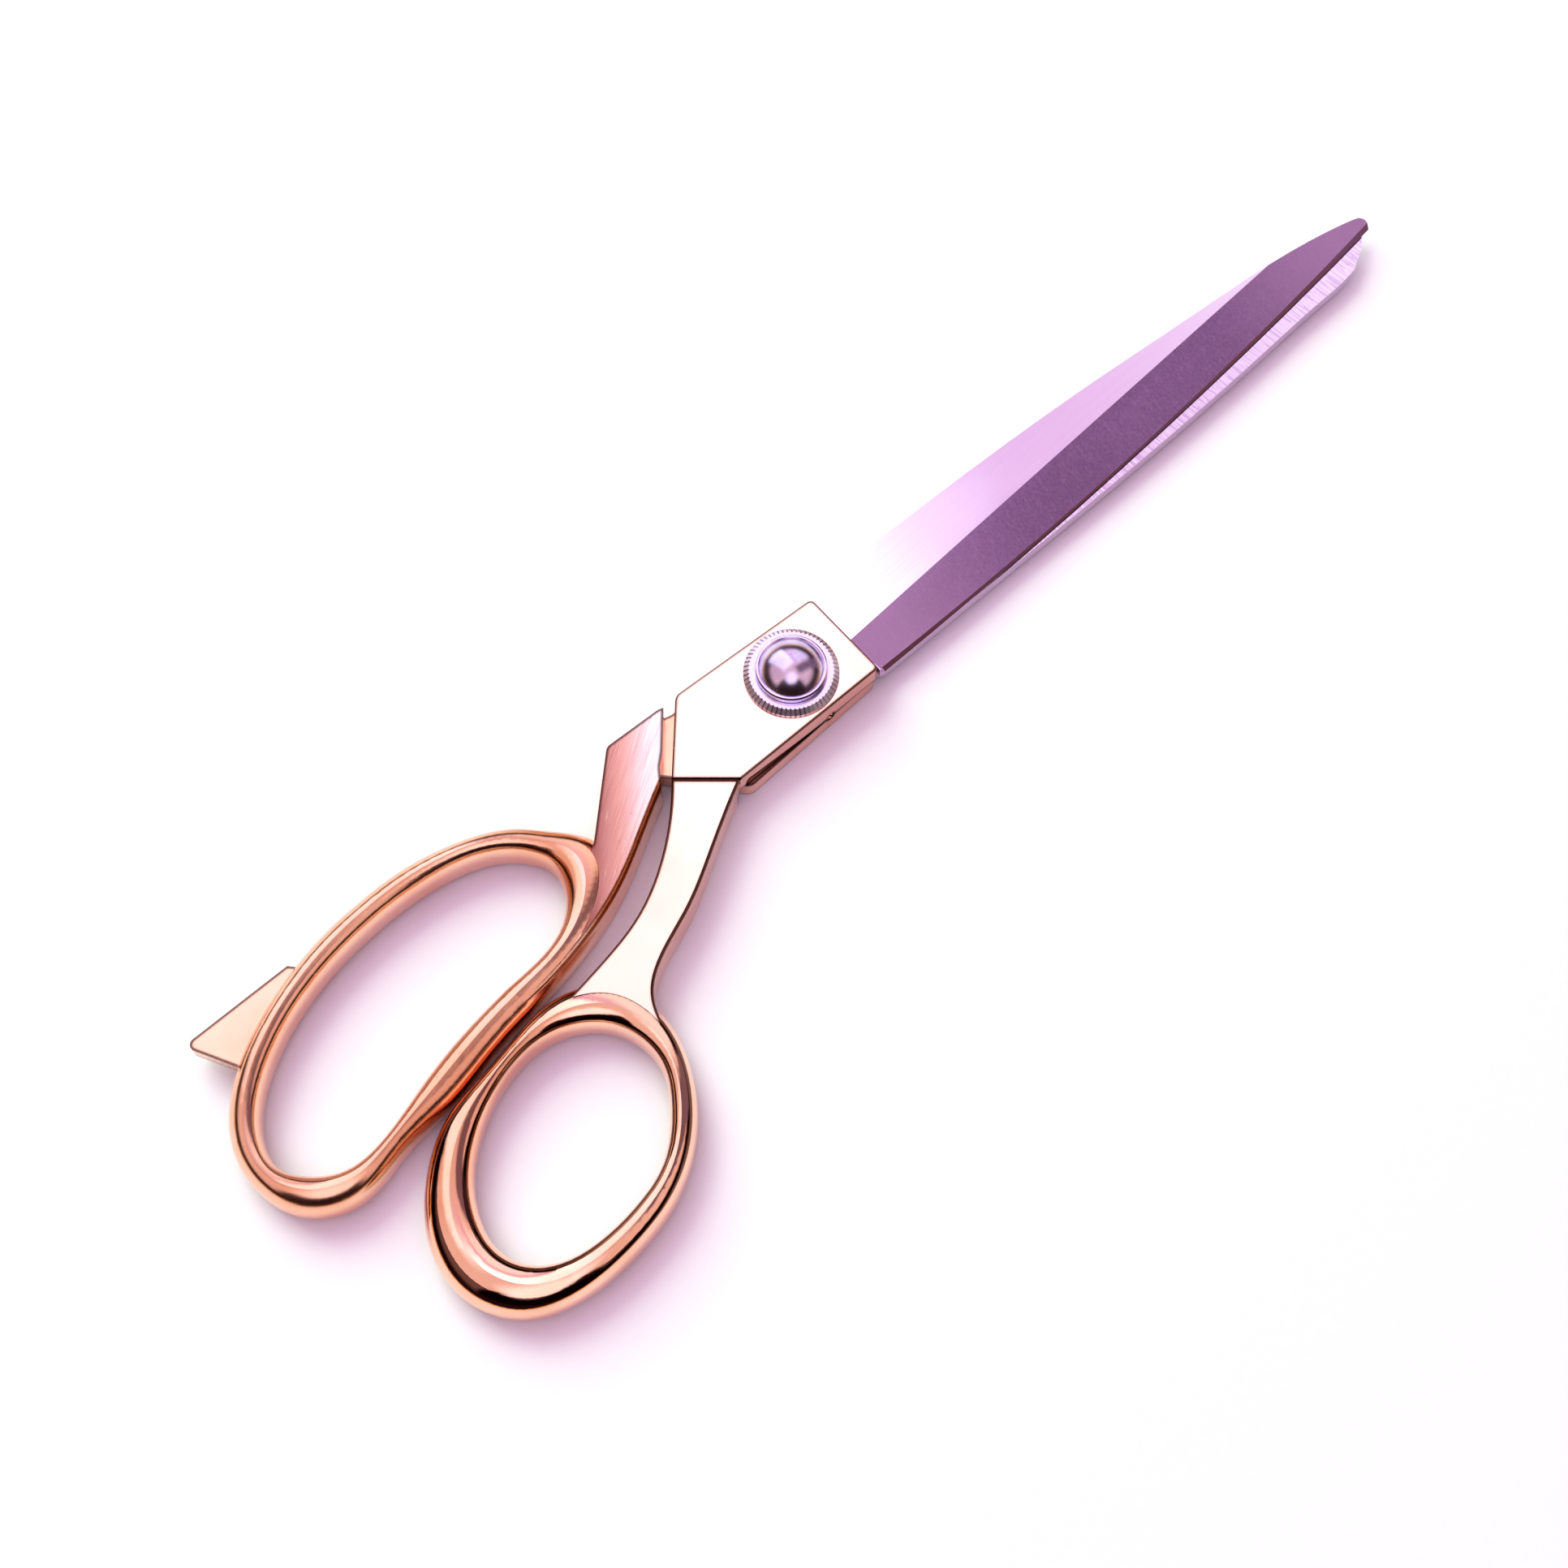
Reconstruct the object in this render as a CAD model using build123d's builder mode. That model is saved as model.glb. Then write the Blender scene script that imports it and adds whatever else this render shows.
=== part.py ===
"""Tailor's shears with cast bows, lying closed on a table.

The frame: the pivot's axis is Z, the table is Z = 0, the blades point along +X.
The lower half carries the large finger bow, the upper half the thumb bow.
Every length is in millimetres.
"""
from build123d import *
import os
from math import atan2, cos, hypot, sin, sqrt

os.makedirs("parts", exist_ok=True)

# ---------------------------------------------------------------- driving dimensions
PLATE_TOP = 7.6            # outer face of the upper half's plate
RIDE_LOWER = 3.55          # inner face of the lower half
RIDE_UPPER = 3.85          # inner face of the upper half
BLADE_THICK = 2.3
TIP_X = 129.0              # where the blades end

BOW_CREST = 8.1            # height of the bows' round bars
BOW_INNER_SHARE = 0.45     # share of the bar's width on the finger's side of its crest

PLATE_NOSE_X = 10.9        # where the castings end and the bare blades begin
PLATE_EDGE_FILLET = 0.3
PLATE_CORNER_FILLETS = [1.8, 1.0, 0.8]
SHANK_FILLET = 0.9
ARM_TOP_FILLET = 0.5
# Flat finger rest at the end of the finger bow
TAB_OUTLINE = [(-106.2, 13.5), (-87.3, 13.5), (-85.5, 11.5), (-101.2, 4.2)]
TAB_BOTTOM = 3.4
TAB_THICK = 2.8
NOTCH_X = 1.0              # small nick in the plates' edges
NOTCH_R = 0.8
CREASE_SIDE = 0.5          # side of the V groove where the plate's machined face ends

BOLT_R = 3.0
BOLT_RUNNING_GAP = 0.05    # radial, in every hole that turns round the bolt
BOLT_HEAD_R = 5.6
BOLT_HEAD_THICK = 1.2
SPANNER_RING_R = 3.6       # two blind holes in the bolt's head, for a pin spanner
SPANNER_HOLE_R = 0.7
SPANNER_DEEP = 0.7
BOLT_SQUARE = 7.0          # square neck that keeps the bolt from turning
SPACER_R = 5.8             # thin washer between the two halves
RECESS_DEEP = 0.25         # its seat in each ride face

WASHER_R = 7.45            # serrated washer under the nut
WASHER_FLAT_R = 6.65
WASHER_THICK = 1.15
WASHER_RIM = 0.45          # height of its rim, below the serrated slope
WASHER_GAP = 0.08          # it floats this far above the plate, on its spring
SERRATIONS = 60
SPRING_R = 5.2
SPRING_SHEET = 0.25
NUT_R = 5.6
NUT_BASE = 1.2
DOME_R = 4.95
DOME_RISE = 2.2

# Outline of a half's plate, for the upper half; the lower half is its mirror image
PLATE_OUTLINE = [
    (-25.4, -1.4),
    (-15.9, 8.95),
    (PLATE_NOSE_X, 7.72),
    (PLATE_NOSE_X, -8.1),
    (-17.5, -8.3),
]
STEP_NEAR = (-19.4, 7.7)   # wall where the lower half's shank rises past the upper plate
STEP_FAR = (-27.0, -1.0)

# Bows: points of the hole's edge and of the bar's outer rim opposite each one
FINGER_BOW = [
    ((-73.0, 10.3), (-73.6, 14.8)),
    ((-83.0, 9.0), (-84.6, 13.4)),
    ((-92.5, 6.0), (-95.0, 9.9)),
    ((-100.7, 1.1), (-103.9, 4.7)),
    ((-105.4, -4.4), (-109.6, -2.4)),
    ((-106.6, -9.6), (-111.0, -9.8)),
    ((-104.2, -13.6), (-108.5, -17.3)),
    ((-99.3, -16.6), (-100.9, -21.6)),
    ((-91.9, -16.4), (-91.3, -20.0)),
    ((-83.0, -13.7), (-81.7, -18.8)),
    ((-74.0, -11.6), (-73.2, -17.1)),
    ((-65.0, -10.4), (-64.6, -15.6)),
    ((-56.4, -9.6), (-55.4, -14.1)),
    ((-50.5, -6.3), (-46.0, -10.8)),
    ((-47.9, -1.3), (-39.6, -3.2)),
    ((-48.8, 2.7), (-43.9, 4.6)),
    ((-51.8, 6.1), (-48.4, 9.0)),
    ((-57.1, 8.8), (-54.8, 12.3)),
    ((-64.0, 10.1), (-63.0, 14.4)),
]
THUMB_BOW = [
    ((-67.9, -20.4), (-67.8, -16.8)),
    ((-74.7, -21.7), (-75.7, -18.3)),
    ((-81.0, -24.9), (-84.1, -20.0)),
    ((-86.1, -29.4), (-91.5, -24.9)),
    ((-89.2, -34.7), (-96.9, -32.1)),
    ((-90.0, -40.1), (-98.3, -41.4)),
    ((-87.8, -44.8), (-93.7, -49.8)),
    ((-83.2, -47.6), (-85.5, -53.3)),
    ((-77.1, -48.4), (-77.2, -53.5)),
    ((-70.4, -47.7), (-69.0, -52.1)),
    ((-63.7, -45.2), (-61.5, -48.6)),
    ((-58.7, -40.4), (-55.5, -43.0)),
    ((-55.6, -35.0), (-51.6, -36.3)),
    ((-55.5, -29.6), (-49.9, -28.7)),
    ((-57.6, -25.1), (-52.3, -20.6)),
    ((-61.8, -21.8), (-59.6, -16.3)),
]

# Blades, drawn with the ride face at Z = 0 and the cutting edge on the -Y side
HEEL_X = 11.3              # where the blade leaves its casting
EDGE_HEEL = (11.3, -8.05)
EDGE_BELLY = (73.0, -5.55)
POINTED_BACK = [
    (12.7, 9.0), (40.0, 8.95), (75.0, 7.55), (93.0, 6.2), (107.0, 5.2), (119.0, 3.85), (126.9, 2.4),
]
POINTED_TIP = [(128.3, 2.0), (128.9, 1.35), (129.0, 0.6), (128.7, -0.3)]
BLUNT_BACK = [
    (12.7, 7.7), (50.0, 7.35), (85.0, 6.45), (104.0, 5.35), (112.0, 4.9), (118.5, 4.6), (121.6, 4.1),
]
BLUNT_TIP = [(125.1, 2.2), (127.6, 0.1), (127.9, -0.3), (127.8, -0.7)]
GRIND_START = (11.3, -1.15)
GRIND_RISE = 0.062         # slope of the line where the bevel starts, seen from above
BEVEL_FALL = 0.233         # depth lost per millimetre across the bevel
BEVEL_FIRST_X = 11.0
HONE_FIRST_X = 12.3
HONE_RISE = 1.2            # slope of the honed edge
EDGE_THICK = 0.1
TANG_SIDE = 6.9            # half the width of the blade's shank inside its casting
TANG_KEYS = [(-9.6, 3.4), (-9.6, -3.4)]
TANG_KEY_R = 1.5


# ---------------------------------------------------------------- shared shapes
def bow_section(hole_edge, rim, crest):
    """One upright slice through a bow's bar, between its hole edge and its outer rim."""
    width = hypot(rim[0] - hole_edge[0], rim[1] - hole_edge[1])
    outward = ((rim[0] - hole_edge[0]) / width, (rim[1] - hole_edge[1]) / width)
    inner = width * BOW_INNER_SHARE
    outer = width - inner
    half = crest / 2
    spot = (hole_edge[0] + outward[0] * inner, hole_edge[1] + outward[1] * inner, half)
    slice_plane = Plane(origin=spot, x_dir=(*outward, 0), z_dir=(outward[1], -outward[0], 0))
    with BuildSketch(slice_plane) as slice_sketch:
        with BuildLine():
            Bezier((0, -half), (0.64 * outer, -0.93 * half), (outer, -0.58 * half), (outer, 0))
            Bezier((outer, 0), (outer, 0.58 * half), (0.64 * outer, 0.93 * half), (0, half))
            Bezier((0, half), (-0.62 * inner, 0.97 * half), (-inner, 0.74 * half), (-inner, 0))
            Bezier((-inner, 0), (-inner, -0.74 * half), (-0.62 * inner, -0.97 * half), (0, -half))
        make_face()
    return slice_sketch.sketch


def bow(stations, joint):
    """A closed ring of bar: two lofts, each run on past both joints and then trimmed there."""
    slices = [bow_section(hole_edge, rim, BOW_CREST) for hole_edge, rim in stations]
    count = len(slices)
    halves = []
    for first, last in ((0, joint), (joint, count)):
        half = loft(sections=[slices[i % count] for i in range(first - 2, last + 3)])
        for end, way in ((first, -1), (last, 1)):
            (hx, hy), (rx, ry) = stations[end % count]
            width = hypot(rx - hx, ry - hy)
            along = (-(ry - hy) / width, (rx - hx) / width, 0)
            face = Plane(origin=((hx + rx) / 2, (hy + ry) / 2, 0), x_dir=(0, 0, 1), z_dir=along)
            half -= extrude(face * Rectangle(4 * BOW_CREST, 18), amount=way * 22)
        halves.append(half)
    return halves[0] + halves[1]


def plate_sketch(side, level):
    """Outline of a half's plate: side is 1 for the upper half, -1 for the lower."""
    with BuildSketch(Plane.XY.offset(level)) as outline:
        with BuildLine():
            Polyline(*[(x, side * y) for x, y in PLATE_OUTLINE], close=True)
        make_face()
        for (x, y), radius in zip(PLATE_OUTLINE[1:4], PLATE_CORNER_FILLETS):
            corner = outline.vertices().sort_by_distance((x, side * y, level))[0]
            fillet(corner, radius=radius)
    return outline.sketch


def plate(side, low, high):
    """A half's plate, its outer rim rounded except where the shank joins it."""
    with BuildPart() as slab:
        extrude(plate_sketch(side, low), amount=high - low)
        outer = slab.faces().sort_by(Axis.Z)[-1 if side == 1 else 0]
        (x0, y0), (x1, y1) = PLATE_OUTLINE[0], PLATE_OUTLINE[-1]
        joint = ((x0 + x1) / 2, side * (y0 + y1) / 2, high if side == 1 else low)
        rim = outer.edges().sort_by_distance(joint)[1:]
        fillet(rim, radius=PLATE_EDGE_FILLET)
    return slab.part


def step_cutter(side, low, high):
    """Block that clears the other half's plate on the pivot's side of the step wall."""
    (x0, y0), (x1, y1) = STEP_NEAR, STEP_FAR
    dx, dy = (x0 - x1), (y0 - y1)
    corners = [
        (x1 - dx, y1 - dy),
        (x0 + 2 * dx, y0 + 2 * dy),
        (x0 + 2 * dx + 2 * dy, y0 + 2 * dy - 2 * dx),
        (x1 - dx + 2 * dy, y1 - dy - 2 * dx),
    ]
    with BuildSketch(Plane.XY.offset(low)) as block:
        with BuildLine():
            Polyline(*[(x, side * y) for x, y in corners], close=True)
        make_face()
    return extrude(block.sketch, amount=high - low)


def crease(side, level):
    """V groove across a half's outer face, where the plate ends and the shank begins."""
    (x0, y0), (x1, y1) = PLATE_OUTLINE[0], PLATE_OUTLINE[-1]
    span = hypot(x1 - x0, y1 - y0)
    run = ((x1 - x0) / span, side * (y1 - y0) / span, 0)
    middle = ((x0 + x1) / 2, side * (y0 + y1) / 2, level)
    with BuildSketch(Plane(origin=middle, x_dir=(run[1], -run[0], 0), z_dir=run)) as notch:
        Rectangle(CREASE_SIDE, CREASE_SIDE, rotation=45)
    return extrude(notch.sketch, amount=span / 2 + 3, both=True)


def tang_outline(close):
    """Run of points round the blade's shank, from under the back to under the edge."""
    return Polyline(
        (HEEL_X, TANG_SIDE - 0.5),
        (-10.0, TANG_SIDE),
        (-14.5, 2.2),
        (-14.5, -4.4),
        (-12.0, -TANG_SIDE),
        (HEEL_X, -TANG_SIDE),
        close=close,
    )


def tang_pocket(side, ride_face):
    """The room that a blade's shank takes in its casting, with two pegs left standing in it."""
    with BuildPart() as pocket:
        with BuildSketch():
            with BuildLine():
                tang_outline(True)
            make_face()
            with Locations(*TANG_KEYS):
                Circle(TANG_KEY_R, mode=Mode.SUBTRACT)
        extrude(amount=BLADE_THICK)
    turned = pocket.part if side == 1 else pocket.part.rotate(Axis.X, 180)
    return turned.moved(Location((0, 0, ride_face)))


def blade(back, tip):
    """A blade: its shank, its long bevel and its honed edge, lying on its ride face."""
    with BuildPart() as steel:
        with BuildSketch():
            with BuildLine():
                tang_outline(False)
                Line((HEEL_X, -TANG_SIDE), EDGE_HEEL)
                ThreePointArc(EDGE_HEEL, EDGE_BELLY, tip[-1])
                Polyline(*tip[::-1], back[-1])
                Spline(*back[::-1])
                ThreePointArc(back[0], (HEEL_X + 0.35, back[0][1] - 0.9), (HEEL_X, TANG_SIDE - 0.5))
            make_face()
        extrude(amount=BLADE_THICK)
        turn = sqrt(1 + GRIND_RISE**2)
        run = (1 / turn, GRIND_RISE / turn, 0)
        beyond = TIP_X + 5
        far = (beyond, GRIND_START[1] + GRIND_RISE * (beyond - GRIND_START[0]), BLADE_THICK)
        with BuildSketch(Plane(origin=far, x_dir=(run[1], -run[0], 0), z_dir=(-run[0], -run[1], 0))):
            with BuildLine():
                Polyline((0, 0), (14, -14 * BEVEL_FALL), (14, 2), (0, 2), close=True)
            make_face()
        extrude(amount=(beyond - BEVEL_FIRST_X) * turn, mode=Mode.SUBTRACT)
        with BuildLine(mode=Mode.PRIVATE) as edge_path:
            whole = ThreePointArc(EDGE_HEEL, EDGE_BELLY, tip[-1], mode=Mode.PRIVATE)
            bare = add(whole.trim((HONE_FIRST_X - HEEL_X) / (TIP_X - HEEL_X), 1))
            Line(whole @ 1, whole @ 1 + 3 * (whole % 1))
        start = edge_path.line @ 0
        along = edge_path.line % 0
        with BuildSketch(Plane(origin=start, x_dir=(-along.Y, along.X, 0), z_dir=along)):
            with BuildLine():
                honed = (2.5, EDGE_THICK + 2.5 * HONE_RISE)
                Polyline((-0.5, EDGE_THICK), (0, EDGE_THICK), honed, (-0.5, 4), close=True)
            make_face()
        sweep(path=edge_path.line, mode=Mode.SUBTRACT)
        with Locations(*[(x, y, 0) for x, y in TANG_KEYS]):
            Hole(TANG_KEY_R)
    return steel.part


# ---------------------------------------------------------------- lower half
def shank_sketch():
    """Lower half's shank, from the crease to under the crest of the finger bow's bar."""
    with BuildSketch() as outline:
        with BuildLine():
            Polyline((-25.4, 1.4), (-17.5, 8.3), (-19.6, 8.85), (-29.4, 9.2), (-40.8, -1.6), (-46.0, -4.3))
            Polyline((-46.0, -4.3), (-49.0, -8.2), (-56.0, -11.5), (-65.0, -12.8), (-77.0, -14.8))
            Spline(
                (-77.0, -14.8), (-68.0, -14.8), (-60.0, -14.3), (-52.0, -12.8),
                (-43.0, -9.9), (-35.0, -5.7), (-27.3, -1.3),
            )
            Line((-27.3, -1.3), (-25.4, 1.4))
        make_face()
        for corner, radius in (((-29.4, 9.2), 1.4), ((-19.6, 8.85), 0.8)):
            fillet(outline.vertices().sort_by_distance(corner)[0], radius=radius)
    return outline.sketch


lower_shank = shank_sketch()
lower_step = step_cutter(1, RIDE_LOWER, PLATE_TOP + 1)
lower_plate = plate(-1, 0, RIDE_LOWER)
lower_crease = crease(-1, 0)
lower_pocket = tang_pocket(-1, RIDE_LOWER)
finger_bow = bow(FINGER_BOW, 11)

with BuildPart() as lower_handle:
    extrude(lower_shank, amount=PLATE_TOP)
    for end in (-1, 0):
        rim_face = lower_handle.faces().sort_by(Axis.Z)[end]
        fillet(rim_face.edges().filter_by(GeomType.BSPLINE), radius=SHANK_FILLET)
    add(lower_step, mode=Mode.SUBTRACT)
    add(lower_plate)
    with BuildSketch(Plane.XY.offset(TAB_BOTTOM)) as finger_rest:
        with BuildLine():
            Polyline(*TAB_OUTLINE, close=True)
        make_face()
        fillet(finger_rest.vertices().sort_by(Axis.X)[0], radius=1.0)
    extrude(amount=TAB_THICK)
    add(lower_crease, mode=Mode.SUBTRACT)
    add(lower_pocket, mode=Mode.SUBTRACT)
    with BuildSketch():
        Circle(BOLT_HEAD_R + BOLT_RUNNING_GAP)
    extrude(amount=RIDE_LOWER - BLADE_THICK, mode=Mode.SUBTRACT)
    with Locations((NOTCH_X, 8.1, RIDE_LOWER), (NOTCH_X, -8.2, RIDE_LOWER)):
        Sphere(NOTCH_R, mode=Mode.SUBTRACT)
    add(finger_bow)
lower_handle.part.label = "lower_handle"
export_step(lower_handle.part, "parts/lower_handle.step")


# ---------------------------------------------------------------- upper half
def arm_sketch():
    """Upper half's arm, from the crease to under the crest of the thumb bow's bar."""
    with BuildSketch() as outline:
        with BuildLine():
            Line((-17.5, -8.3), (-25.4, -1.4))
            Spline(
                (-25.4, -1.4), (-29.0, -5.3), (-35.0, -10.3),
                (-43.5, -14.9), (-51.0, -16.8), (-59.5, -18.2),
            )
            Polyline((-59.5, -18.2), (-60.8, -19.3), (-57.9, -20.9), (-55.3, -23.1))
            Polyline((-55.3, -23.1), (-53.6, -26.0), (-53.0, -29.2), (-53.3, -32.5))
            Spline(
                (-53.3, -32.5), (-51.6, -30.8), (-50.6, -28.2), (-49.0, -25.4),
                (-46.0, -23.0), (-37.0, -19.1), (-27.0, -13.6), (-17.5, -8.3),
            )
        make_face()
    return outline.sketch


upper_arm = arm_sketch()
upper_step = step_cutter(-1, -1, RIDE_UPPER)
upper_plate = plate(1, RIDE_UPPER, PLATE_TOP)
upper_crease = crease(1, PLATE_TOP)
upper_pocket = tang_pocket(1, RIDE_UPPER)
thumb_bow = bow(THUMB_BOW, 9)

with BuildPart() as upper_handle:
    extrude(upper_arm, amount=PLATE_TOP)
    top_rim = upper_handle.faces().sort_by(Axis.Z)[-1].edges()
    fillet(top_rim.filter_by(GeomType.BSPLINE), radius=ARM_TOP_FILLET)
    low_rim = upper_handle.faces().sort_by(Axis.Z)[0].edges()
    fillet(low_rim.filter_by(GeomType.BSPLINE), radius=SHANK_FILLET)
    add(upper_step, mode=Mode.SUBTRACT)
    add(upper_plate)
    add(upper_crease, mode=Mode.SUBTRACT)
    add(upper_pocket, mode=Mode.SUBTRACT)
    with BuildSketch(Plane.XY.offset(PLATE_TOP)):
        Circle(BOLT_R + BOLT_RUNNING_GAP)
    extrude(amount=RIDE_UPPER - PLATE_TOP, mode=Mode.SUBTRACT)
    with Locations((NOTCH_X, -8.1, RIDE_UPPER)):
        Sphere(NOTCH_R, mode=Mode.SUBTRACT)
    add(thumb_bow)
upper_handle.part.label = "upper_handle"
export_step(upper_handle.part, "parts/upper_handle.step")


# ---------------------------------------------------------------- blades
pointed_blank = blade(POINTED_BACK, POINTED_TIP)
blunt_blank = blade(BLUNT_BACK, BLUNT_TIP).rotate(Axis.X, 180)

with BuildPart() as upper_blade:
    add(pointed_blank.moved(Location((0, 0, RIDE_UPPER))))
    with BuildSketch(Plane.XY.offset(RIDE_UPPER)):
        Circle(BOLT_R + BOLT_RUNNING_GAP)
    extrude(amount=BLADE_THICK, mode=Mode.SUBTRACT)
    with BuildSketch(Plane.XY.offset(RIDE_UPPER)):
        Circle(SPACER_R + 0.1)
    extrude(amount=RECESS_DEEP, mode=Mode.SUBTRACT)
upper_blade.part.label = "upper_blade"
export_step(upper_blade.part, "parts/upper_blade.step")

with BuildPart() as lower_blade:
    add(blunt_blank.moved(Location((0, 0, RIDE_LOWER))))
    with BuildSketch(Plane.XY.offset(RIDE_LOWER)):
        Rectangle(BOLT_SQUARE, BOLT_SQUARE)
    extrude(amount=-BLADE_THICK, mode=Mode.SUBTRACT)
    with BuildSketch(Plane.XY.offset(RIDE_LOWER)):
        Circle(SPACER_R + 0.1)
    extrude(amount=-RECESS_DEEP, mode=Mode.SUBTRACT)
lower_blade.part.label = "lower_blade"
export_step(lower_blade.part, "parts/lower_blade.step")


# ---------------------------------------------------------------- pivot
WASHER_BOTTOM = PLATE_TOP + WASHER_GAP
WASHER_TOP = WASHER_BOTTOM + WASHER_THICK
NUT_BOTTOM = WASHER_TOP + 0.02
BOLT_TOP = NUT_BOTTOM + NUT_BASE + 0.6

with BuildPart() as pivot_bolt:
    with BuildSketch():
        Circle(BOLT_HEAD_R)
    extrude(amount=BOLT_HEAD_THICK)
    chamfer(pivot_bolt.edges().group_by(Axis.Z)[0], length=0.2)
    with BuildSketch():
        with PolarLocations(SPANNER_RING_R, 2):
            Circle(SPANNER_HOLE_R)
    extrude(amount=SPANNER_DEEP, mode=Mode.SUBTRACT)
    with BuildSketch(Plane.XY.offset(BOLT_HEAD_THICK)):
        Rectangle(BOLT_SQUARE - 0.1, BOLT_SQUARE - 0.1)
    extrude(amount=RIDE_LOWER - RECESS_DEEP - BOLT_HEAD_THICK - 0.05)
    with BuildSketch(Plane.XY.offset(BOLT_HEAD_THICK)):
        Circle(BOLT_R)
    extrude(amount=BOLT_TOP - BOLT_HEAD_THICK)
    chamfer(pivot_bolt.edges().group_by(Axis.Z)[-1], length=0.4)
pivot_bolt.part.label = "pivot_bolt"
export_step(pivot_bolt.part, "parts/pivot_bolt.step")

with BuildPart() as friction_washer:
    with BuildSketch(Plane.XY.offset(RIDE_LOWER - RECESS_DEEP)):
        Circle(SPACER_R)
        Circle(BOLT_R + 0.1, mode=Mode.SUBTRACT)
    extrude(amount=RIDE_UPPER - RIDE_LOWER + 2 * RECESS_DEEP - 0.03)
friction_washer.part.label = "friction_washer"
export_step(friction_washer.part, "parts/friction_washer.step")

with BuildPart() as spring_washer:
    rise = WASHER_THICK * 0.5
    with BuildSketch(Plane.XZ):
        with BuildLine():
            Polyline(
                (BOLT_R + 0.1, PLATE_TOP + rise - SPRING_SHEET),
                (BOLT_R + 0.1, PLATE_TOP + rise),
                (SPRING_R, PLATE_TOP + 0.02 + SPRING_SHEET),
                (SPRING_R, PLATE_TOP + 0.02),
                close=True,
            )
        make_face()
    revolve(axis=Axis.Z)
spring_washer.part.label = "spring_washer"
export_step(spring_washer.part, "parts/spring_washer.step")

# One V groove, lying on the washer's sloping rim
rim_drop = WASHER_THICK - WASHER_RIM
lean = atan2(rim_drop, WASHER_R - WASHER_FLAT_R)
groove_middle = ((WASHER_R + WASHER_FLAT_R) / 2 + 0.06, 0, WASHER_TOP - rim_drop / 2 + 0.06)
with BuildPart() as groove:
    with BuildSketch(Plane(origin=groove_middle, x_dir=(0, 1, 0), z_dir=(cos(lean), 0, -sin(lean)))):
        Rectangle(0.3, 0.3, rotation=45)
    extrude(amount=1.6, both=True)

with BuildPart() as serrated_washer:
    with BuildSketch(Plane.XZ):
        with BuildLine():
            Polyline(
                (BOLT_R + 0.1, WASHER_BOTTOM + WASHER_THICK * 0.5),
                (SPRING_R + 0.3, WASHER_BOTTOM + WASHER_THICK * 0.5),
                (SPRING_R + 0.3, WASHER_BOTTOM),
                (WASHER_R, WASHER_BOTTOM),
                (WASHER_R, WASHER_BOTTOM + WASHER_RIM),
                (WASHER_FLAT_R, WASHER_TOP),
                (BOLT_R + 0.1, WASHER_TOP),
                close=True,
            )
        make_face()
    revolve(axis=Axis.Z)
    with PolarLocations(0, SERRATIONS):
        add(groove.part, mode=Mode.SUBTRACT)
serrated_washer.part.label = "serrated_washer"
export_step(serrated_washer.part, "parts/serrated_washer.step")

with BuildPart() as dome_nut:
    base_top = NUT_BOTTOM + NUT_BASE
    with BuildSketch(Plane.XZ):
        with BuildLine():
            Polyline(
                (0, base_top + DOME_RISE),
                (0, base_top + 1.1),
                (BOLT_R + BOLT_RUNNING_GAP, base_top + 0.8),
                (BOLT_R + BOLT_RUNNING_GAP, NUT_BOTTOM),
                (NUT_R - 0.15, NUT_BOTTOM),
                (NUT_R, NUT_BOTTOM + 0.15),
                (NUT_R, base_top - 0.2),
                (NUT_R - 0.2, base_top),
                (DOME_R + 0.2, base_top),
                (DOME_R, base_top - 0.12),
            )
            TangentArc((0, base_top + DOME_RISE), (DOME_R, base_top - 0.12), tangent=(1, 0))
        make_face()
    revolve(axis=Axis.Z)
dome_nut.part.label = "dome_nut"
export_step(dome_nut.part, "parts/dome_nut.step")
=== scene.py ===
"""Looks for the tailor's shears: plating, ground steel, a plain pale table and soft studio light.

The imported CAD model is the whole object, so nothing here changes a shape. Each CAD node gets
a procedural material. Units are metres and the frame is the model's own: the pivot's axis is Z,
the table is Z = 0 and the blades point along +X. A pair of numbers such as FLAT_UP holds where
a ramp starts and where it ends. Three numbers hold a band: low, high and how soft its ends are.
"""
import math

import bpy
from mathutils import Matrix, Vector


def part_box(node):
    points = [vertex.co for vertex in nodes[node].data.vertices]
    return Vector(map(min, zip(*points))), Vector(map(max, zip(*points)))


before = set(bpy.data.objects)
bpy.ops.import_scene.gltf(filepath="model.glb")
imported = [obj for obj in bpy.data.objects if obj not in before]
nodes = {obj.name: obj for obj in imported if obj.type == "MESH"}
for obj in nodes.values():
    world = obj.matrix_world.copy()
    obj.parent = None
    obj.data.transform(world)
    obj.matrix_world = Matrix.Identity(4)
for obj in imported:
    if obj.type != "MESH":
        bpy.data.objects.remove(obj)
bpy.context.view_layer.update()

MM = 0.001

# ---------------------------------------------------------------- places read from the frame
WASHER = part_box("serrated_washer")
WASHER_GAP = 0.08 * MM                   # the washer floats this far above the plate
PLATE_TOP = WASHER[0].z - WASHER_GAP     # the flat tops of both castings, but not the bows' crests
RIDE_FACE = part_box("lower_blade")[1].z   # the lower blade's face that the upper one rides on


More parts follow.
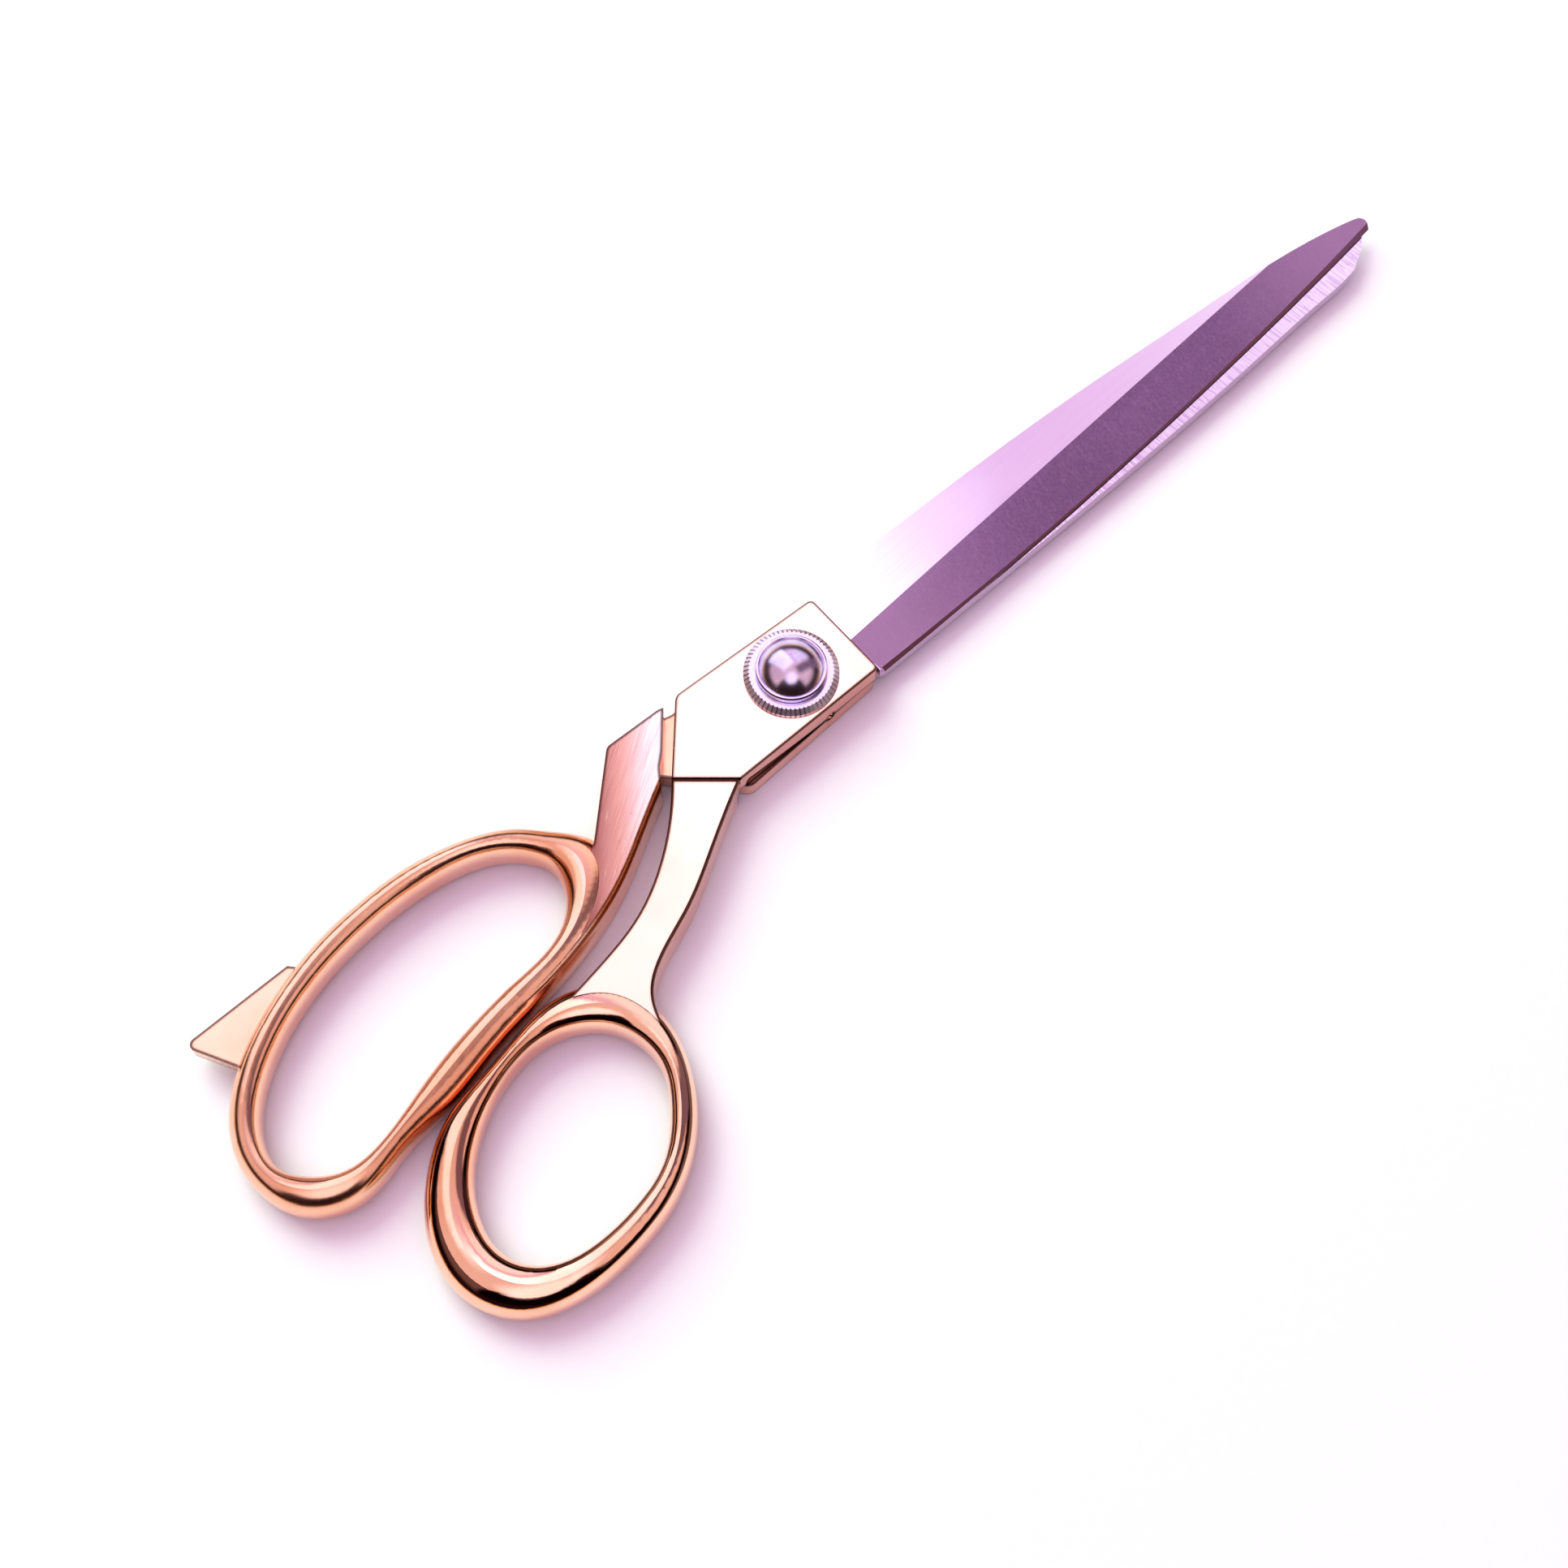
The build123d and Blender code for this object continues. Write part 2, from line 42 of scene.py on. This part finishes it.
# ---------------------------------------------------------------- node helpers
class Graph:
    """One material's or world's node tree, with short calls for the nodes that it uses."""

    def __init__(self, tree):
        self.tree = tree
        tree.nodes.clear()

    def add(self, kind, inputs=None, **settings):
        """A new node; inputs are by the socket's name or number, settings are its properties."""
        node = self.tree.nodes.new(kind)
        for name, value in settings.items():
            setattr(node, name, value)
        for key, value in (inputs or {}).items():
            self.feed(node.inputs[key], value)
        return node

    def feed(self, socket, value):
        """Links a socket to value, or sets it if value is a plain number or colour."""
        if isinstance(value, bpy.types.NodeSocket):
            self.tree.links.new(value, socket)
        elif socket.type == "RGBA" and len(value) == 3:
            socket.default_value = (*value, 1)
        else:
            socket.default_value = value

    def math(self, operation, a, b=0.0, clamp=False):
        inputs = {0: a, 1: b}
        return self.add("ShaderNodeMath", inputs, operation=operation, use_clamp=clamp).outputs[0]

    def product(self, *factors):
        total = factors[0]
        for factor in factors[1:]:
            total = self.math("MULTIPLY", total, factor)
        return total

    def ramp(self, value, low, high):
        """0 below low, 1 above high, smooth between; low may be the larger one."""
        flip = low > high
        inputs = {"Value": value, "From Min": min(low, high), "From Max": max(low, high)}
        inputs.update({"To Min": float(flip), "To Max": float(not flip)})
        node = self.add("ShaderNodeMapRange", inputs, interpolation_type="SMOOTHSTEP")
        return node.outputs["Result"]

    def band(self, value, low, high, soft):
        """1 from low to high, fading to 0 over soft outside them."""
        return self.product(self.ramp(value, low - soft, low), self.ramp(value, high + soft, high))

    def scaled(self, value, low, high):
        """value from 0..1 to low..high."""
        inputs = {"Value": value, "To Min": low, "To Max": high}
        return self.add("ShaderNodeMapRange", inputs).outputs["Result"]

    def mix(self, factor, a, b):
        """A colour: a where factor is 0, b where it is 1."""
        return self.blend(factor, a, b, "RGBA")

    def blend(self, factor, a, b, kind="FLOAT"):
        """A number: a where factor is 0, b where it is 1."""
        node = self.add("ShaderNodeMix", {"Factor": factor}, data_type=kind)
        self.feed(node.inputs["A"], a)
        self.feed(node.inputs["B"], b)
        return node.outputs["Result"]

    def noise(self, vector, size, detail=2.0, roughness=0.5):
        """Cloudy noise whose blotches are about size metres across."""
        inputs = {"Vector": vector, "Scale": 0.5 / size, "Detail": detail, "Roughness": roughness}
        return self.add("ShaderNodeTexNoise", inputs).outputs["Fac"]

    def streaks(self, vector, angle, length, width, detail=1.0):
        """Noise drawn out into lines: length along the angle from +X, width across it."""
        turned = self.add("ShaderNodeMapping", {"Vector": vector, "Rotation": (0, 0, -angle)})
        stretch = (0.5 / length, 0.5 / width, 0.5 / width)
        drawn = self.add("ShaderNodeMapping", {"Vector": turned.outputs["Vector"], "Scale": stretch})
        inputs = {"Vector": drawn.outputs["Vector"], "Scale": 1.0, "Detail": detail, "Roughness": 0.6}
        return self.add("ShaderNodeTexNoise", inputs).outputs["Fac"]

    def bump(self, height, distance, strength=1.0, normal=None):
        inputs = {"Height": height, "Distance": distance, "Strength": strength}
        if normal is not None:
            inputs["Normal"] = normal
        return self.add("ShaderNodeBump", inputs).outputs["Normal"]

    def closeness(self, direction, aim):
        """1 where a direction is along aim, 0 where it is square to it."""
        node = self.add("ShaderNodeVectorMath", {0: direction, 1: aim}, operation="DOT_PRODUCT")
        return node.outputs["Value"]


def material(name):
    """An empty material, with its place in the node, that place's x, y, z and the normal's Z."""
    made = bpy.data.materials.new(name)
    made.use_nodes = True
    graph = Graph(made.node_tree)
    coords = graph.add("ShaderNodeTexCoord")
    place = coords.outputs["Object"]
    x, y, z = graph.add("ShaderNodeSeparateXYZ", {0: place}).outputs
    up = graph.add("ShaderNodeSeparateXYZ", {0: coords.outputs["Normal"]}).outputs["Z"]
    return made, graph, place, (x, y, z), up


def metal(graph, color, roughness, normal, anisotropy=0.0):
    """Finishes a material as a metal surface."""
    shader = graph.add("ShaderNodeBsdfPrincipled", {"Metallic": 1.0, "Anisotropic": anisotropy})
    graph.feed(shader.inputs["Base Color"], color)
    graph.feed(shader.inputs["Roughness"], roughness)
    graph.feed(shader.inputs["Normal"], normal)
    graph.add("ShaderNodeOutputMaterial", {"Surface": shader.outputs[0]})


# ---------------------------------------------------------------- plated castings
ROSE = (0.97, 0.63, 0.45)
ROSE_DEEP = (0.90, 0.48, 0.30)
# painted reflection that makes the flat tops paler; also the colour of the pad's brushed strokes
ROSE_FLAT_REFLECTION_AND_STROKE = (0.98, 0.74, 0.66)
NICK = (0.28, 0.12, 0.09)
# painted dark reflection along sharp edges and rounded rims
EDGE_DARK_REFLECTION = (0.07, 0.016, 0.014)
# painted copper-coloured reflection on the lower handle's rounded rims
COPPER_RIM_REFLECTION = (0.62, 0.20, 0.08)

FLAT_UP = (0.985, 0.997)           # the normal's Z on a flat top
FLAT_HEIGHTS = (PLATE_TOP - 0.15 * MM, PLATE_TOP - 0.05 * MM)
RIM_UP = (0.3, 0.96, 0.03)         # the normal's Z on a flat top's rounded rim
RIM_HEIGHTS = (PLATE_TOP - 0.6 * MM, PLATE_TOP - 0.4 * MM)
UNDER_BOWS = (PLATE_TOP + 0.06 * MM, PLATE_TOP + 0.02 * MM)   # the bows' crests are higher
EDGE_LINE = 0.55 * MM              # reach of the dark line along a sharp edge
EDGE_OPEN = (0.94, 0.80)           # how open the inside of the solid is at such an edge

PAD_START_X = -52 * MM             # the shank's brushed pad starts under the finger bow
PAD_X = 0.754                      # distance across the pad, from its outer side, is
PAD_Y = 0.657                      # PAD_X times x less PAD_Y times y
# painted reflection across the pad: where it turns from dark to rose, and from rose to pale
PAD_TO_ROSE = (-31 * MM, -25 * MM)
PAD_TO_PALE = (-26.5 * MM, -20.5 * MM)
PAD_REFLECTION_DARK = (0.28, 0.085, 0.07)
PAD_REFLECTION_ROSE = (0.76, 0.38, 0.31)
PAD_REFLECTION_PALE = (1.0, 0.88, 0.84)
PAD_GRAIN = (0.36, 0.12, 0.11)

REST_RIDGE = 0.42 * MM             # step in x + y between the finger rest's cutter marks
REST_END_X = (-100.5 * MM, -101.5 * MM)
REST_WALL_Y = (3.5 * MM, 4.5 * MM)
WALL_UP = (0.4, 0.1)               # the normal's Z on an upright wall


def plating(name, brushed_pad):
    """Rose-gold plating over polished castings: slow dents, hairline scratches, small nicks."""
    made, g, place, (x, y, z), up = material(name)
    cloud = g.noise(place, 9 * MM, 3)
    color = g.mix(g.ramp(cloud, 0.35, 0.7), ROSE, ROSE_DEEP)
    flat = g.product(g.ramp(up, *FLAT_UP), g.ramp(z, *FLAT_HEIGHTS))
    # painted reflection: the flat tops are paler
    color = g.mix(g.product(flat, 0.5), color, ROSE_FLAT_REFLECTION_AND_STROKE)

    # nicks where the plating is lost, in a few patches
    chips = g.ramp(g.noise(place, 0.55 * MM, 2), 0.735, 0.76)
    where = g.ramp(g.noise(place, 7 * MM, 1), 0.56, 0.66)
    chips = g.product(chips, where)
    color = g.mix(chips, color, NICK)

    hairlines = g.ramp(g.streaks(place, math.radians(38), 6 * MM, 0.05 * MM), 0.68, 0.8)
    crossing = g.ramp(g.streaks(place, math.radians(-61), 4 * MM, 0.06 * MM), 0.7, 0.82)
    scratches = g.math("MAXIMUM", hairlines, crossing)
    haze = g.noise(place, 2.2 * MM, 4, 0.65)
    roughness = g.scaled(haze, 0.12, 0.24) if brushed_pad else g.scaled(haze, 0.035, 0.11)
    roughness = g.math("ADD", roughness, g.product(scratches, 0.10))
    roughness = g.math("ADD", roughness, g.product(chips, 0.35), clamp=True)

    dents = g.noise(place, 6 * MM, 1, 0.4)
    normal = g.bump(dents, 0.045 * MM)
    normal = g.bump(g.product(scratches, -1.0), 0.0012 * MM, 0.6, normal)
    normal = g.bump(g.product(chips, -1.0), 0.02 * MM, 0.7, normal)

    if brushed_pad:
        # the shank's flat pad, brushed along its length, with a painted reflection gradient from dark
        # at its outer side to pale
        pad = g.product(flat, g.ramp(z, *UNDER_BOWS))
        pad = g.product(pad, g.ramp(x, PAD_START_X, PAD_START_X + MM))
        grain = g.streaks(place, math.radians(33), 3.5 * MM, 0.045 * MM, 2)
        strokes = g.ramp(g.streaks(place, math.radians(40), 2.4 * MM, 0.11 * MM, 2), 0.6, 0.75)
        # painted reflection: dark at the pad's outer side, then rose, then pale
        across = g.math("SUBTRACT", g.product(x, PAD_X), g.product(y, PAD_Y))
        shade = g.mix(g.ramp(across, *PAD_TO_ROSE), PAD_REFLECTION_DARK, PAD_REFLECTION_ROSE)
        shade = g.mix(g.ramp(across, *PAD_TO_PALE), shade, PAD_REFLECTION_PALE)
        color = g.mix(pad, color, shade)
        color = g.mix(g.product(pad, g.ramp(grain, 0.35, 0.75), 0.4), color, PAD_GRAIN)
        color = g.mix(g.product(pad, strokes, 0.4), color, ROSE_FLAT_REFLECTION_AND_STROKE)
        roughness = g.blend(pad, roughness, g.scaled(grain, 0.2, 0.34))
        normal = g.bump(g.product(pad, g.math("ADD", grain, strokes)), 0.006 * MM, 1.0, normal)
        # cutter marks across the finger rest's outer wall
        ridges = g.math("SINE", g.product(g.math("ADD", x, y), 2 * math.pi / REST_RIDGE))
        wall = g.product(g.ramp(x, *REST_END_X), g.ramp(y, *REST_WALL_Y))
        wall = g.product(wall, g.ramp(up, *WALL_UP))
        normal = g.bump(g.product(wall, ridges), 0.05 * MM, 1.0, normal)

    # painted dark reflections: thin dark lines where the plating turns over a sharp edge, and on the
    # flat tops' rounded rims except the lower handle's
    inputs = {"Distance": EDGE_LINE}
    inside = g.add("ShaderNodeAmbientOcclusion", inputs, samples=6, inside=True, only_local=True)
    edge_dark_reflection = g.ramp(inside.outputs["AO"], *EDGE_OPEN)
    rim_reflection = g.product(g.band(up, *RIM_UP), g.ramp(z, *RIM_HEIGHTS))
    rim_reflection = g.product(rim_reflection, g.ramp(z, *UNDER_BOWS))
    if brushed_pad:
        # painted copper reflection on the rounded rims past the pad's start
        past_start = g.ramp(x, PAD_START_X, PAD_START_X + 6 * MM)
        color = g.mix(g.product(rim_reflection, past_start), color, COPPER_RIM_REFLECTION)
    else:
        edge_dark_reflection = g.math("MAXIMUM", edge_dark_reflection, rim_reflection)
    # painted dark reflection lines on the edges
    color = g.mix(g.product(edge_dark_reflection, 0.9), color, EDGE_DARK_REFLECTION)
    metal(g, color, roughness, normal)
    return made


# ---------------------------------------------------------------- ground steel
STEEL = (0.86, 0.76, 0.90)
STEEL_GRAIN = (0.78, 0.66, 0.84)
# painted dark reflection on the honed edge
STEEL_HONED_REFLECTION = (0.16, 0.10, 0.28)
# painted dark reflection: the bevel's base colour
BEVEL_DARK_REFLECTION = (0.50, 0.30, 0.62)
BEVEL_GRAIN = (0.30, 0.18, 0.40)
BEVEL_BAND = (0.70, 0.52, 0.80)
BEVEL_PIT = (0.24, 0.13, 0.33)
# painted paler reflection at both ends of the bevel
BEVEL_END_REFLECTION = (0.80, 0.54, 0.92)
WHEEL_MARK = (0.52, 0.36, 0.66)

BEVEL_UP = (0.96, 0.985, 0.008)    # the normal's Z on the bevel, without its sign
HONED_UP = (0.3, 0.93, 0.02)       # and on the steeper honed edge
# where the painted paler reflection on the bevel starts and ends
PALE_TO_TIP = (90 * MM, 125 * MM)  # the bevel is paler at both of its ends
PALE_TO_HEEL = (45 * MM, 12 * MM)
RIDE_UP = (0.99, 0.998)            # the normal's Z on the ride face
RIDE_HEIGHTS = (RIDE_FACE - 0.05 * MM, RIDE_FACE)
MARKS_TO_TIP = (40 * MM, 80 * MM)  # the wheel marks show more towards the tip


def blade_steel(name, ride_face_up):
    """Ground blade steel: brushed along the flat, ground across the bevel; painted dark reflection on
    the bevel and the honed edge.
    """
    made, g, place, (x, y, z), up = material(name)
    level = g.math("ABSOLUTE", up)
    bevel = g.band(level, *BEVEL_UP)
    honed = g.band(level, *HONED_UP)

    along = g.streaks(place, math.radians(2), 16 * MM, 0.06 * MM, 3)
    across = g.streaks(place, math.radians(80), 0.9 * MM, 0.06 * MM, 3)
    bands = g.ramp(g.streaks(place, math.radians(86), 9 * MM, 0.28 * MM, 2), 0.45, 0.75)
    cloud = g.noise(place, 12 * MM, 3)
    fine = g.noise(place, 0.25 * MM, 2, 0.7)

    flat_color = g.mix(g.product(g.ramp(along, 0.3, 0.7), 0.5), STEEL, STEEL_GRAIN)
    # the bevel's darkness is painted reflection; its grain, bands and pits are the steel's own
    bevel_color = g.mix(g.ramp(across, 0.3, 0.75), BEVEL_DARK_REFLECTION, BEVEL_GRAIN)
    bevel_color = g.mix(g.product(bands, 0.2), bevel_color, BEVEL_BAND)
    bevel_color = g.mix(g.product(g.ramp(fine, 0.35, 0.7), 0.35), bevel_color, BEVEL_PIT)
    # painted reflection: the bevel is paler towards both ends
    end_reflection = g.math("MAXIMUM", g.ramp(x, *PALE_TO_TIP), g.ramp(x, *PALE_TO_HEEL))
    bevel_color = g.mix(g.product(end_reflection, 0.7), bevel_color, BEVEL_END_REFLECTION)
    color = g.mix(bevel, flat_color, bevel_color)
    # painted dark reflection on the honed edge
    color = g.mix(honed, color, STEEL_HONED_REFLECTION)

    roughness = g.scaled(along, 0.07, 0.13)
    roughness = g.blend(bevel, roughness, g.scaled(across, 0.26, 0.42))
    roughness = g.math("ADD", roughness, g.product(g.ramp(cloud, 0.4, 0.8), 0.06))
    roughness = g.math("ADD", roughness, g.product(g.ramp(fine, 0.6, 0.8), 0.06), clamp=True)

    normal = g.bump(along, 0.0025 * MM, 0.8)
    normal = g.bump(g.product(bevel, g.math("ADD", across, bands)), 0.006 * MM, 1.0, normal)
    if ride_face_up:
        # wheel marks across the face that the other blade rides on
        wheel = g.streaks(place, math.radians(97), 4 * MM, 0.3 * MM, 1)
        ride = g.product(g.ramp(up, *RIDE_UP), g.ramp(z, *RIDE_HEIGHTS))
        marks = g.product(ride, g.ramp(wheel, 0.47, 0.56))
        normal = g.bump(marks, 0.012 * MM, 1.0, normal)
        strength = g.scaled(g.ramp(x, *MARKS_TO_TIP), 0.1, 0.45)
        color = g.mix(g.product(marks, strength), color, WHEEL_MARK)
    metal(g, color, roughness, normal, anisotropy=0.35)
    return made


# ---------------------------------------------------------------- pivot hardware
PIVOT = (0.60, 0.50, 0.78)
# painted paler reflection on the washer's rim round the nut
PIVOT_RIM_REFLECTION = (0.92, 0.85, 0.98)
# painted shade in the washer's serration grooves
PIVOT_GROOVE_SHADE = (0.42, 0.30, 0.52)
PIVOT_SPECK = (0.25, 0.18, 0.28)
SERRATIONS = 60                      # as many as the washer's grooves
SHOWN_RADII = (5.8 * MM, 6.1 * MM)   # where the washer starts to show round the nut
SLOPE_RADII = (6.35 * MM, 6.6 * MM)  # where its serrated slope starts
RING_WIDTH = 0.05 * MM               # size of the turning marks' noise, along the radius
RING_HEIGHT = 0.4 * MM               # and along the axis


def pivot_steel(name, pale, gloss=(0.07, 0.2)):
    """Polished hardware with turning marks round the pivot's axis; gloss is its roughness range."""
    made, g, place, (x, y, z), _ = material(name)
    radius = g.math("SQRT", g.math("ADD", g.math("POWER", x, 2.0), g.math("POWER", y, 2.0)))
    inputs = {0: g.product(radius, 1 / RING_WIDTH), 1: g.product(z, 1 / RING_HEIGHT)}
    rings_at = g.add("ShaderNodeCombineXYZ", inputs).outputs[0]
    inputs = {"Vector": rings_at, "Scale": 1.0, "Detail": 2.0}
    rings = g.add("ShaderNodeTexNoise", inputs).outputs["Fac"]
    smear = g.noise(place, 1.6 * MM, 4, 0.6)
    color = g.mix(g.ramp(smear, 0.35, 0.75), PIVOT, pale)
    specks = g.ramp(g.noise(place, 0.3 * MM, 2), 0.74, 0.78)
    color = g.mix(g.product(specks, 0.6), color, PIVOT_SPECK)
    # painted paler reflection where the washer shows round the nut
    rim_reflection = g.ramp(radius, *SHOWN_RADII)
    color = g.mix(rim_reflection, color, PIVOT_RIM_REFLECTION)
    # painted shade in the serration grooves, in patches
    turn = g.math("ARCTAN2", y, x)
    groove_shade = g.ramp(g.math("COSINE", g.product(turn, SERRATIONS)), 0.1, 0.7)
    slope = g.product(g.ramp(radius, *SLOPE_RADII), g.ramp(smear, 0.3, 0.6))
    color = g.mix(g.product(slope, groove_shade), color, PIVOT_GROOVE_SHADE)
    roughness = g.blend(rim_reflection, g.scaled(smear, *gloss), 0.34)
    roughness = g.math("ADD", roughness, g.product(specks, 0.2), clamp=True)
    normal = g.bump(rings, 0.0016 * MM, 0.7)
    normal = g.bump(g.noise(place, 3 * MM, 1), 0.03 * MM, 0.6, normal)
    metal(g, color, roughness, normal)
    return made


BRASS = (0.80, 0.60, 0.28)
BRASS_DULL = (0.62, 0.44, 0.20)


def turned_brass(name):
    """Bare brass with fine lines."""
    made, g, place, _, _ = material(name)
    smear = g.noise(place, 2 * MM, 4, 0.6)
    lines = g.streaks(place, 0.4, 5 * MM, 0.05 * MM, 2)
    color = g.mix(g.ramp(smear, 0.3, 0.7), BRASS, BRASS_DULL)
    metal(g, color, g.scaled(lines, 0.22, 0.4), g.bump(lines, 0.003 * MM))
    return made


finishes = {
    "lower_handle": plating("plated_casting_lower", brushed_pad=True),
    "upper_handle": plating("plated_casting_upper", brushed_pad=False),
    "lower_blade": blade_steel("blade_steel_lower", ride_face_up=True),
    "upper_blade": blade_steel("blade_steel_upper", ride_face_up=False),
    "dome_nut": pivot_steel("pivot_steel_dome", (0.86, 0.76, 0.98), (0.14, 0.24)),
    "serrated_washer": pivot_steel("pivot_steel_washer", (0.86, 0.76, 0.92)),
    "pivot_bolt": pivot_steel("pivot_steel_bolt", (0.72, 0.66, 0.76)),
    "spring_washer": pivot_steel("pivot_steel_spring", (0.66, 0.60, 0.70)),
    "friction_washer": turned_brass("washer_brass"),
}
for node_name, finish in finishes.items():
    mesh = nodes[node_name].data
    mesh.materials.clear()
    mesh.materials.append(finish)


# ---------------------------------------------------------------- table
TABLE_HALF = 2.5                   # metres
TABLE_PAINT = (0.70, 0.795, 0.735)
TABLE_PAINT_PALE = (0.72, 0.815, 0.755)


def table_top():
    """A plain pale sheet, with a faint tooth to its surface."""
    mesh = bpy.data.meshes.new("table_top")
    signs = ((-1, -1), (1, -1), (1, 1), (-1, 1))
    corners = [(i * TABLE_HALF, j * TABLE_HALF, 0) for i, j in signs]
    mesh.from_pydata(corners, [], [(0, 1, 2, 3)])
    made, g, place, _, _ = material("table_paint")
    tooth = g.noise(place, 0.8 * MM, 3)
    color = g.mix(tooth, TABLE_PAINT, TABLE_PAINT_PALE)
    shader = g.add("ShaderNodeBsdfPrincipled", {"Base Color": color, "Roughness": 0.7})
    g.feed(shader.inputs["Normal"], g.bump(tooth, 0.004 * MM))
    g.add("ShaderNodeOutputMaterial", {"Surface": shader.outputs[0]})
    mesh.materials.append(made)
    board = bpy.data.objects.new("table_top", mesh)
    bpy.context.scene.collection.objects.link(board)


# ---------------------------------------------------------------- light
KEY = {
    "towards": (0.0, 0.70, 0.71),
    "away": 1.6,
    "side": 1.1,
    "power": 22.5,
    "color": (0.80, 1.0, 0.78),
}
FILL = {
    "towards": (-0.15, -0.1, 0.98),
    "away": 1.6,
    "side": 2.6,
    "power": 20.0,
    "color": (1.0, 0.42, 1.0),
}

# The room's colours, and under each one where it starts and ends along the direction looked in
ROOM_DARK = (0.016, 0.003, 0.006)   # the unlit room, and the photographer in front of the table
PHOTOGRAPHER = Vector((-0.57, -0.65, 0.50)).normalized()
PHOTOGRAPHER_EDGE = (0.76, 0.80)
ROOM_CEILING = (0.92, 0.63, 0.63)
CEILING_Z = (0.40, 0.62)
ROOM_LENS_GLOW = (1.55, 1.3, 1.5)   # the soft ring of light round the lens
LENS = Vector((-0.25, -0.29, 0.92)).normalized()
LENS_EDGE = (0.93, 0.985)
ROOM_BOOM = (0.22, 0.13, 0.19)      # a dim arm over the blades
BOOM_X = (0.14, 0.24)
BOOM_NEAR_Y = (-0.42, -0.32)
BOOM_FAR_Y = (0.02, -0.05)
ROOM_WARM = (0.95, 0.48, 0.20)      # warm light that skims the table
WARM_Z = (0.05, 0.08, 0.12)
ROOM_HORIZON = (0.95, 0.91, 0.96)   # the pale sheet running on past the table
HORIZON_Z = (0.06, 0.045)
ROOM_WALL = (0.95, 0.62, 0.92)      # the lilac wall beside the window, towards +X
ROOM_WALL_FAR = (1.2, 1.05, 1.2)
WALL_X = (0.30, 0.33)
WALL_Y = (0.0, 0.16)
WALL_Z = (0.34, 0.52)
WALL_FAR_X = (0.40, 0.53)
ROOM_WINDOW = (1.75, 1.65, 1.95)    # a tall window on the +Y side, whose top is over the table
ROOM_CURTAIN = (1.45, 1.36, 1.60)   # the window's dimmer side, towards -X
WINDOW_LOW_X = (-0.34, -0.24)
WINDOW_HIGH_X = (0.365, 0.325)
WINDOW_Y = (0.13, 0.30)
WINDOW_Z = (0.28, 0.36)
CURTAIN_X = (0.10, 0.27)


def room():
    """What the metal reflects, painted in the world: dark room, window, wall, lens and boom."""
    world = bpy.data.worlds.new("studio")
    bpy.context.scene.world = world
    world.use_nodes = True
    g = Graph(world.node_tree)
    towards = g.add("ShaderNodeTexCoord").outputs["Generated"]
    dx, dy, dz = g.add("ShaderNodeSeparateXYZ", {0: towards}).outputs
    color = g.mix(g.ramp(dz, *CEILING_Z), ROOM_DARK, ROOM_CEILING)
    near = g.closeness(towards, PHOTOGRAPHER)
    color = g.mix(g.ramp(near, *PHOTOGRAPHER_EDGE), color, ROOM_DARK)
    near = g.closeness(towards, LENS)
    color = g.mix(g.ramp(near, *LENS_EDGE), color, ROOM_LENS_GLOW)
    boom = g.product(g.ramp(dx, *BOOM_X), g.ramp(dy, *BOOM_NEAR_Y), g.ramp(dy, *BOOM_FAR_Y))
    color = g.mix(boom, color, ROOM_BOOM)
    color = g.mix(g.band(dz, *WARM_Z), color, ROOM_WARM)
    color = g.mix(g.ramp(dz, *HORIZON_Z), color, ROOM_HORIZON)
    wall = g.product(g.ramp(dx, *WALL_X), g.ramp(dy, *WALL_Y), g.ramp(dz, *WALL_Z))
    color = g.mix(wall, color, g.mix(g.ramp(dx, *WALL_FAR_X), ROOM_WALL, ROOM_WALL_FAR))
    window = g.product(g.ramp(dx, *WINDOW_LOW_X), g.ramp(dx, *WINDOW_HIGH_X), g.ramp(dy, *WINDOW_Y))
    window = g.product(window, g.ramp(dz, *WINDOW_Z))
    color = g.mix(window, color, g.mix(g.ramp(dx, *CURTAIN_X), ROOM_CURTAIN, ROOM_WINDOW))
    background = g.add("ShaderNodeBackground", {"Color": color, "Strength": 1.0})
    g.add("ShaderNodeOutputWorld", {"Surface": background.outputs[0]})


def lamp(name, towards, away, side, power, color):
    """A square soft lamp that lights the table and isn't reflected: the metal shows room()."""
    data = bpy.data.lights.new(name, "AREA")
    data.shape = "SQUARE"
    data.size = side
    data.energy = power
    data.color = color
    holder = bpy.data.objects.new(name, data)
    direction = Vector(towards).normalized()
    holder.location = direction * away
    holder.rotation_mode = "QUATERNION"
    holder.rotation_quaternion = direction.to_track_quat("Z", "Y")
    holder.visible_glossy = False
    bpy.context.scene.collection.objects.link(holder)


# ---------------------------------------------------------------- camera
CAMERA_AIM = Vector((-10.9, -10.8, 0)) * MM   # where its axis meets the table
CAMERA_AWAY = 405 * MM
CAMERA_TURN = math.radians(41.048)            # from the picture's right to +X, on the table
CAMERA_TILT = math.radians(22.8)              # its axis leans this far from straight down
CAMERA_LENS = 60.0                            # millimetres
CAMERA_SENSOR = 36.0                          # millimetres
CAMERA_CLIP = (0.01, 20.0)                    # metres


def camera():
    """The photograph's view, with the shears' tips to the upper right."""
    data = bpy.data.cameras.new("camera")
    data.lens = CAMERA_LENS
    data.sensor_width = CAMERA_SENSOR
    data.clip_start, data.clip_end = CAMERA_CLIP
    holder = bpy.data.objects.new("camera", data)
    right = Vector((math.cos(CAMERA_TURN), -math.sin(CAMERA_TURN), 0))
    ahead = Vector((math.sin(CAMERA_TURN), math.cos(CAMERA_TURN), 0))
    up = ahead * math.cos(CAMERA_TILT) + Vector((0, 0, math.sin(CAMERA_TILT)))
    back = right.cross(up)
    turn = Matrix((right, up, back)).transposed().to_4x4()
    holder.matrix_world = Matrix.Translation(CAMERA_AIM + back * CAMERA_AWAY) @ turn
    bpy.context.scene.collection.objects.link(holder)
    bpy.context.scene.camera = holder


table_top()
room()
lamp("key", **KEY)
lamp("fill", **FILL)
camera()
bpy.context.scene.view_settings.view_transform = "Standard"
